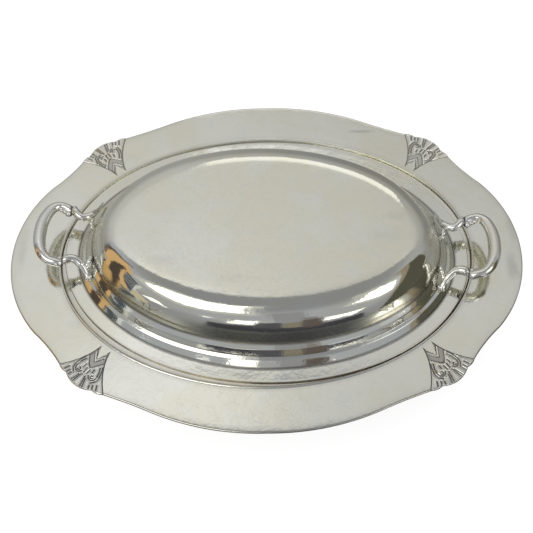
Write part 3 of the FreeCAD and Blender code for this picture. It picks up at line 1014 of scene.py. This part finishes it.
class DISH_OT_build_stage(bpy.types.Operator):
    """Sets the camera, the pale floor, the soft lights and the studio round the dish"""
    bl_idname = "dish.build_stage"
    bl_label = "Build Stage"

    def execute(self, context):
        self.camera(context.scene)
        self.world(context.scene)
        self.floor()
        self.lamps()
        self.room()
        for number, screen in enumerate(SCREENS):
            self.screen(ROOM_RADIUS - SCREEN_STEP * (number + 1), *screen)
        return {"FINISHED"}

    def camera(self, scene):
        data = bpy.data.cameras.new("photo_camera")
        data.lens = CAMERA_LENS
        data.clip_start = 0.01
        camera = bpy.data.objects.new("photo_camera", data)
        place = Matrix.Translation(Vector(CAMERA_PLACE) * MM)
        for degrees, axis in CAMERA_TURNS:
            place = place @ Matrix.Rotation(math.radians(degrees), 4, axis)
        camera.matrix_world = place
        scene.collection.objects.link(camera)
        scene.camera = camera
        scene.view_settings.view_transform = "Standard"

    def world(self, scene):
        """Plain white air, at half strength for light on the floor."""
        world = bpy.data.worlds.new("studio_air")
        scene.world = world
        tree = ShaderTree(world)
        strength = 0.5 + tree.seen_directly() * 0.5
        light = tree.add("ShaderNodeBackground", {0: (*WHITE, 1.0), 1: strength})
        tree.add("ShaderNodeOutputWorld", {0: light})
        world.cycles.sampling_method = "NONE"

    def floor(self):
        """Pale round floor, which glows a little where it is seen and so takes soft shadows."""
        shape = bmesh.new()
        bmesh.ops.create_circle(shape, cap_ends=True, segments=96, radius=3.0)
        material = bpy.data.materials.new("pale_floor")
        tree = ShaderTree(material)
        paint = tree.add("ShaderNodeBsdfDiffuse", {0: (0.22, 0.22, 0.22, 1.0)})
        glow = tree.emission(WHITE, FLOOR_GLOW)
        shaded = tree.add("ShaderNodeAddShader", {0: paint, 1: glow})
        plain = tree.add("ShaderNodeBsdfDiffuse", {0: (0.80, 0.80, 0.80, 1.0)})
        factor = tree.seen_directly()
        either = tree.add("ShaderNodeMixShader", {0: factor, 1: plain, 2: shaded})
        tree.add("ShaderNodeOutputMaterial", {0: either})
        floor = stage_object(shape, "floor", material)
        floor.visible_glossy = False

    def lamps(self):
        """Soft lamps at plain level, which light the floor round the dish."""
        for name, place, energy in LAMPS:
            data = bpy.data.lights.new(name, "AREA")
            data.energy = energy
            data.size = LAMP_SIZE
            lamp = bpy.data.objects.new(name, data)
            lamp.location = place
            lamp.rotation_euler = Vector(place).to_track_quat("Z", "Y").to_euler()
            lamp.visible_camera = False
            lamp.visible_glossy = False
            bpy.context.scene.collection.objects.link(lamp)

    def room(self):
        """Round wall behind the screens, cooler and dimmer in front than at the rear."""
        shape = bmesh.new()
        bmesh.ops.create_uvsphere(shape, u_segments=96, v_segments=60, radius=ROOM_RADIUS)
        material = bpy.data.materials.new("room_paint")
        tree = ShaderTree(material)
        place = tree.add("ShaderNodeTexCoord", output=3)
        axes = [tree.add("ShaderNodeSeparateXYZ", {0: place}, output=number) for number in range(3)]
        across, behind, height = [axis / ROOM_RADIUS for axis in axes]
        front = 0.46 + 0.14 * height.between(-0.15, 0.3) - 0.19 * height.between(0.78, 0.97)
        rear = 0.44 + 0.25 * height.between(0.15, 0.62) + 0.28 * height.between(0.62, 0.92)
        rear = rear + (0.30 * across.between(0.06, -0.09) - 0.05) * height.between(0.88, 0.93)
        rear = rear + 0.16 * across.between(0.28, -0.28) - 0.09
        side = behind.between(0.235, 0.265)
        level = (front + side * (rear - front)) * ROOM_LEVEL
        light = tree.emission(tree.mix(side, FRONT_TINT, REAR_TINT), level)
        tree.add("ShaderNodeOutputMaterial", {0: light})
        material.cycles.emission_sampling = "NONE"
        seen_in_metal_only(stage_object(shape, "room", material))

    def screen(self, radius, name, corners, colour, strength=1.0):
        """Glowing board with the given corners, bent to the round of the room."""
        shape = bmesh.new()
        ring = bmesh.ops.create_circle(shape, cap_ends=True, segments=len(corners), radius=1)["verts"]
        for vertex, corner in zip(ring, corners):
            vertex.co = (*corner, 0)
        bmesh.ops.triangulate(shape, faces=shape.faces)
        for _ in range(3):
            bmesh.ops.subdivide_edges(shape, edges=shape.edges, cuts=1, use_grid_fill=True)
        for vertex in shape.verts:
            vertex.co = bearing_point(vertex.co.x, vertex.co.y, radius)
        material = bpy.data.materials.new(name)
        tree = ShaderTree(material)
        light = tree.emission(colour, strength * ROOM_LEVEL)
        tree.add("ShaderNodeOutputMaterial", {0: light})
        material.cycles.emission_sampling = "NONE"
        seen_in_metal_only(stage_object(shape, name, material))


class DISH_PT_panel(bpy.types.Panel):
    """Sidebar panel with the sizes, colours and steps of the dish"""
    bl_idname = "DISH_PT_panel"
    bl_label = "Covered Dish"
    bl_space_type = "VIEW_3D"
    bl_region_type = "UI"
    bl_category = "Dish"

    def draw(self, context):
        for group in (context.scene.dish_sizes, context.scene.dish_colours):
            column = self.layout.column(align=True)
            for name in group.__annotations__:
                column.prop(group, name)
        for step in STEPS:
            self.layout.operator(step.bl_idname)


STEPS = (DISH_OT_build_stage, DISH_OT_build_base, DISH_OT_build_corners, DISH_OT_build_cover,
         DISH_OT_build_handles)
CLASSES = (DishSizes, SilverColours, *STEPS, DISH_PT_panel)


def register():
    for kind in CLASSES:
        bpy.utils.register_class(kind)
    bpy.types.Scene.dish_sizes = PointerProperty(type=DishSizes)
    bpy.types.Scene.dish_colours = PointerProperty(type=SilverColours)


def unregister():
    del bpy.types.Scene.dish_sizes
    del bpy.types.Scene.dish_colours
    for kind in reversed(CLASSES):
        bpy.utils.unregister_class(kind)


def main():
    register()
    bpy.ops.dish.build_stage()
    bpy.ops.dish.build_base()
    bpy.ops.dish.build_corners()
    bpy.ops.dish.build_cover()
    bpy.ops.dish.build_handles()


if __name__ == "__main__":
    main()
